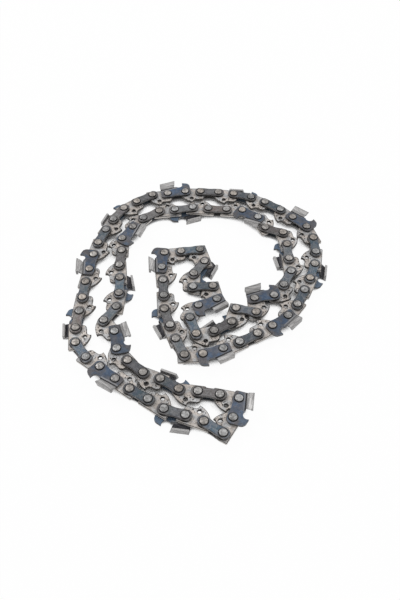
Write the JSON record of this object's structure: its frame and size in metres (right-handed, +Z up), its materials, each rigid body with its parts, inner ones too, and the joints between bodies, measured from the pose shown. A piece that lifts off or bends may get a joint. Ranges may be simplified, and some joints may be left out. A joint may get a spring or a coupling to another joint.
{
  "type": "saw chain",
  "caption": "Closed loop of riveted saw chain with drive links, tie straps and alternating chipper cutters, lying on its side, doubled and rolled up in a loose spiral.",
  "frame": {"origin": "centre of the coil's box, on the surface that the chain lies on", "axes": "+Z up, along all the rivets; +Y away from the viewer of the picture, along the longest extent; +X to the right"},
  "size_m": [0.133, 0.1616, 0.0072],
  "materials": {
    "drive_steel": "bare stamped steel, light warm grey, satin, with fine dark specks",
    "strap_steel": "heat-blackened steel, dark gunmetal with a blue tint, satin",
    "cutter_steel": "blued plate with a hard chrome plated top",
    "rivet_steel": "bare steel, peened heads, warm grey"
  },
  "bodies": {
    "core": {"core_drive_links": "drive_steel", "core_tie_straps": "strap_steel", "core_right_cutters": "cutter_steel", "core_left_cutters": "cutter_steel", "core_rivets": "rivet_steel"},
    "outer_bar_1": {"outer_bar_1": "strap_steel"},
    "inner_bar_1": {"inner_bar_1": "strap_steel"},
    "outer_bar_2": {"outer_bar_2": "strap_steel"},
    "inner_bar_2": {"inner_bar_2": "strap_steel"},
    "outer_bar_3": {"outer_bar_3": "strap_steel"},
    "inner_bar_3": {"inner_bar_3": "strap_steel"},
    "outer_bar_4": {"outer_bar_4": "strap_steel"},
    "inner_bar_4": {"inner_bar_4": "strap_steel"},
    "outer_bar_5": {"outer_bar_5": "strap_steel"},
    "inner_bar_5": {"inner_bar_5": "strap_steel"},
    "outer_bar_6": {"outer_bar_6": "strap_steel"},
    "inner_bar_6": {"inner_bar_6": "strap_steel"},
    "outer_bar_7": {"outer_bar_7": "strap_steel"},
    "inner_bar_7": {"inner_bar_7": "strap_steel"},
    "outer_bar_8": {"outer_bar_8": "strap_steel"},
    "inner_bar_8": {"inner_bar_8": "strap_steel"},
    "outer_run_1": {"outer_run_1_drive_links": "drive_steel", "outer_run_1_plates": "strap_steel", "outer_run_1_rivets": "rivet_steel"},
    "outer_run_2": {"outer_run_2_drive_links": "drive_steel", "outer_run_2_plates": "strap_steel", "outer_run_2_rivets": "rivet_steel"},
    "outer_run_3": {"outer_run_3_drive_links": "drive_steel", "outer_run_3_plates": "strap_steel", "outer_run_3_rivets": "rivet_steel"},
    "outer_run_4": {"outer_run_4_drive_links": "drive_steel"},
    "outer_run_5": {"outer_run_5_drive_links": "drive_steel", "outer_run_5_plates": "strap_steel", "outer_run_5_rivets": "rivet_steel"},
    "outer_run_6": {"outer_run_6_drive_links": "drive_steel", "outer_run_6_plates": "strap_steel", "outer_run_6_rivets": "rivet_steel"},
    "outer_run_7": {"outer_run_7_drive_links": "drive_steel"},
    "inner_run_1": {"inner_run_1_drive_links": "drive_steel"},
    "inner_run_2": {"inner_run_2_drive_links": "drive_steel", "inner_run_2_plates": "strap_steel", "inner_run_2_rivets": "rivet_steel"},
    "inner_run_3": {"inner_run_3_drive_links": "drive_steel", "inner_run_3_plates": "strap_steel", "inner_run_3_rivets": "rivet_steel"},
    "inner_run_4": {"inner_run_4_drive_links": "drive_steel"},
    "inner_run_5": {"inner_run_5_drive_links": "drive_steel"},
    "inner_run_6": {"inner_run_6_drive_links": "drive_steel", "inner_run_6_plates": "strap_steel", "inner_run_6_rivets": "rivet_steel"},
    "inner_run_7": {"inner_run_7_drive_links": "drive_steel"},
    "fold": {"fold_drive_links": "drive_steel", "fold_tie_straps": "strap_steel", "fold_cutters": "cutter_steel", "fold_rivets": "rivet_steel"}
  },
  "joints": [
    {"name": "outer_bar_1_swing", "type": "hinge", "parent": "core", "child": "outer_bar_1", "pos_m": [0.04814, -0.00643, 0.0036], "axis": [0, 0, 1], "range_deg": [-30, 0]},
    {"name": "outer_run_1_return", "type": "hinge", "parent": "outer_bar_1", "child": "outer_run_1", "pos_m": [0.05251, 0.00252, 0.0036], "axis": [0, 0, 1], "range_deg": [0, 30]},
    {"name": "inner_bar_1_swing", "type": "hinge", "parent": "core", "child": "inner_bar_1", "pos_m": [0.04245, 0.00606, 0.0036], "axis": [0, 0, 1], "range_deg": [-30, 0]},
    {"name": "inner_run_1_return", "type": "hinge", "parent": "inner_bar_1", "child": "inner_run_1", "pos_m": [0.04682, 0.01501, 0.0036], "axis": [0, 0, 1], "range_deg": [0, 30]},
    {"name": "outer_bar_2_swing", "type": "hinge", "parent": "outer_run_1", "child": "outer_bar_2", "pos_m": [0.0608, 0.02839, 0.0036], "axis": [0, 0, 1], "range_deg": [-30, 20]},
    {"name": "outer_run_2_return", "type": "hinge", "parent": "outer_bar_2", "child": "outer_run_2", "pos_m": [0.06046, 0.03834, 0.0036], "axis": [0, 0, 1], "range_deg": [-20, 30]},
    {"name": "inner_bar_2_swing", "type": "hinge", "parent": "inner_run_1", "child": "inner_bar_2", "pos_m": [0.04652, 0.02368, 0.0036], "axis": [0, 0, 1], "range_deg": [-30, 20]},
    {"name": "inner_run_2_return", "type": "hinge", "parent": "inner_bar_2", "child": "inner_run_2", "pos_m": [0.04617, 0.03364, 0.0036], "axis": [0, 0, 1], "range_deg": [-20, 30]},
    {"name": "outer_bar_3_swing", "type": "hinge", "parent": "outer_run_2", "child": "outer_bar_3", "pos_m": [0.01065, 0.0735, 0.0036], "axis": [0, 0, 1], "range_deg": [-30, 20]},
    {"name": "outer_run_3_return", "type": "hinge", "parent": "outer_bar_3", "child": "outer_run_3", "pos_m": [0.00071, 0.07419, 0.0036], "axis": [0, 0, 1], "range_deg": [-20, 30]},
    {"name": "inner_bar_3_swing", "type": "hinge", "parent": "inner_run_2", "child": "inner_bar_3", "pos_m": [0.01489, 0.05988, 0.0036], "axis": [0, 0, 1], "range_deg": [-30, 20]},
    {"name": "inner_run_3_return", "type": "hinge", "parent": "inner_bar_3", "child": "inner_run_3", "pos_m": [0.00495, 0.06057, 0.0036], "axis": [0, 0, 1], "range_deg": [-20, 30]},
    {"name": "outer_bar_4_swing", "type": "hinge", "parent": "outer_run_3", "child": "outer_bar_4", "pos_m": [-0.02639, 0.0714, 0.0036], "axis": [0, 0, 1], "range_deg": [-30, 20]},
    {"name": "outer_run_4_return", "type": "hinge", "parent": "outer_bar_4", "child": "outer_run_4", "pos_m": [-0.03484, 0.06613, 0.0036], "axis": [0, 0, 1], "range_deg": [-20, 30]},
    {"name": "inner_bar_4_swing", "type": "hinge", "parent": "inner_run_3", "child": "inner_bar_4", "pos_m": [-0.02209, 0.05854, 0.0036], "axis": [0, 0, 1], "range_deg": [-30, 20]},
    {"name": "inner_run_4_return", "type": "hinge", "parent": "inner_bar_4", "child": "inner_run_4", "pos_m": [-0.03053, 0.05326, 0.0036], "axis": [0, 0, 1], "range_deg": [-20, 30]},
    {"name": "outer_bar_5_swing", "type": "hinge", "parent": "outer_run_4", "child": "outer_bar_5", "pos_m": [-0.04168, 0.06078, 0.0036], "axis": [0, 0, 1], "range_deg": [-10, 10]},
    {"name": "outer_run_5_return", "type": "hinge", "parent": "outer_bar_5", "child": "outer_run_5", "pos_m": [-0.04681, 0.05224, 0.0036], "axis": [0, 0, 1], "range_deg": [-10, 10]},
    {"name": "inner_bar_5_swing", "type": "hinge", "parent": "inner_run_4", "child": "inner_bar_5", "pos_m": [-0.03588, 0.04642, 0.0036], "axis": [0, 0, 1], "range_deg": [-10, 10]},
    {"name": "inner_run_5_return", "type": "hinge", "parent": "inner_bar_5", "child": "inner_run_5", "pos_m": [-0.04101, 0.03789, 0.0036], "axis": [0, 0, 1], "range_deg": [-10, 10]},
    {"name": "outer_bar_6_swing", "type": "hinge", "parent": "outer_run_5", "child": "outer_bar_6", "pos_m": [-0.05737, 0.00781, 0.0036], "axis": [0, 0, 1], "range_deg": [-18, 20]},
    {"name": "outer_run_6_return", "type": "hinge", "parent": "outer_bar_6", "child": "outer_run_6", "pos_m": [-0.05789, -0.00213, 0.0036], "axis": [0, 0, 1], "range_deg": [-20, 18]},
    {"name": "inner_bar_6_swing", "type": "hinge", "parent": "inner_run_5", "child": "inner_bar_6", "pos_m": [-0.0407, 0.02921, 0.0036], "axis": [0, 0, 1], "range_deg": [-18, 20]},
    {"name": "inner_run_6_return", "type": "hinge", "parent": "inner_bar_6", "child": "inner_run_6", "pos_m": [-0.04123, 0.01927, 0.0036], "axis": [0, 0, 1], "range_deg": [-20, 18]},
    {"name": "outer_bar_7_swing", "type": "hinge", "parent": "outer_run_6", "child": "outer_bar_7", "pos_m": [-0.04564, -0.04274, 0.0036], "axis": [0, 0, 1], "range_deg": [-30, 6]},
    {"name": "outer_run_7_return", "type": "hinge", "parent": "outer_bar_7", "child": "outer_run_7", "pos_m": [-0.03812, -0.04928, 0.0036], "axis": [0, 0, 1], "range_deg": [-6, 30]},
    {"name": "inner_bar_7_swing", "type": "hinge", "parent": "inner_run_6", "child": "inner_bar_7", "pos_m": [-0.03315, -0.03933, 0.0036], "axis": [0, 0, 1], "range_deg": [-30, 6]},
    {"name": "inner_run_7_return", "type": "hinge", "parent": "inner_bar_7", "child": "inner_run_7", "pos_m": [-0.02563, -0.04587, 0.0036], "axis": [0, 0, 1], "range_deg": [-6, 30]},
    {"name": "outer_bar_8_swing", "type": "hinge", "parent": "outer_run_7", "child": "outer_bar_8", "pos_m": [-0.03119, -0.0545, 0.0036], "axis": [0, 0, 1], "range_deg": [-18, 6]},
    {"name": "fold_return", "type": "hinge", "parent": "outer_bar_8", "child": "fold", "pos_m": [-0.02275, -0.05978, 0.0036], "axis": [0, 0, 1], "range_deg": [-6, 18]},
    {"name": "inner_bar_8_swing", "type": "hinge", "parent": "inner_run_7", "child": "inner_bar_8", "pos_m": [-0.01764, -0.04926, 0.0036], "axis": [0, 0, 1], "range_deg": [-18, 6]}
  ],
  "couplings": [
    {"joint": "outer_run_1_return", "follows": "outer_bar_1_swing", "ratio": -1},
    {"joint": "inner_bar_1_swing", "follows": "outer_bar_1_swing", "ratio": 1},
    {"joint": "inner_run_1_return", "follows": "outer_bar_1_swing", "ratio": -1},
    {"joint": "outer_run_2_return", "follows": "outer_bar_2_swing", "ratio": -1},
    {"joint": "inner_bar_2_swing", "follows": "outer_bar_2_swing", "ratio": 1},
    {"joint": "inner_run_2_return", "follows": "outer_bar_2_swing", "ratio": -1},
    {"joint": "outer_run_3_return", "follows": "outer_bar_3_swing", "ratio": -1},
    {"joint": "inner_bar_3_swing", "follows": "outer_bar_3_swing", "ratio": 1},
    {"joint": "inner_run_3_return", "follows": "outer_bar_3_swing", "ratio": -1},
    {"joint": "outer_run_4_return", "follows": "outer_bar_4_swing", "ratio": -1},
    {"joint": "inner_bar_4_swing", "follows": "outer_bar_4_swing", "ratio": 1},
    {"joint": "inner_run_4_return", "follows": "outer_bar_4_swing", "ratio": -1},
    {"joint": "outer_run_5_return", "follows": "outer_bar_5_swing", "ratio": -1},
    {"joint": "inner_bar_5_swing", "follows": "outer_bar_5_swing", "ratio": 1},
    {"joint": "inner_run_5_return", "follows": "outer_bar_5_swing", "ratio": -1},
    {"joint": "outer_run_6_return", "follows": "outer_bar_6_swing", "ratio": -1},
    {"joint": "inner_bar_6_swing", "follows": "outer_bar_6_swing", "ratio": 1},
    {"joint": "inner_run_6_return", "follows": "outer_bar_6_swing", "ratio": -1},
    {"joint": "outer_run_7_return", "follows": "outer_bar_7_swing", "ratio": -1},
    {"joint": "inner_bar_7_swing", "follows": "outer_bar_7_swing", "ratio": 1},
    {"joint": "inner_run_7_return", "follows": "outer_bar_7_swing", "ratio": -1},
    {"joint": "fold_return", "follows": "outer_bar_8_swing", "ratio": -1},
    {"joint": "inner_bar_8_swing", "follows": "outer_bar_8_swing", "ratio": 1}
  ]
}
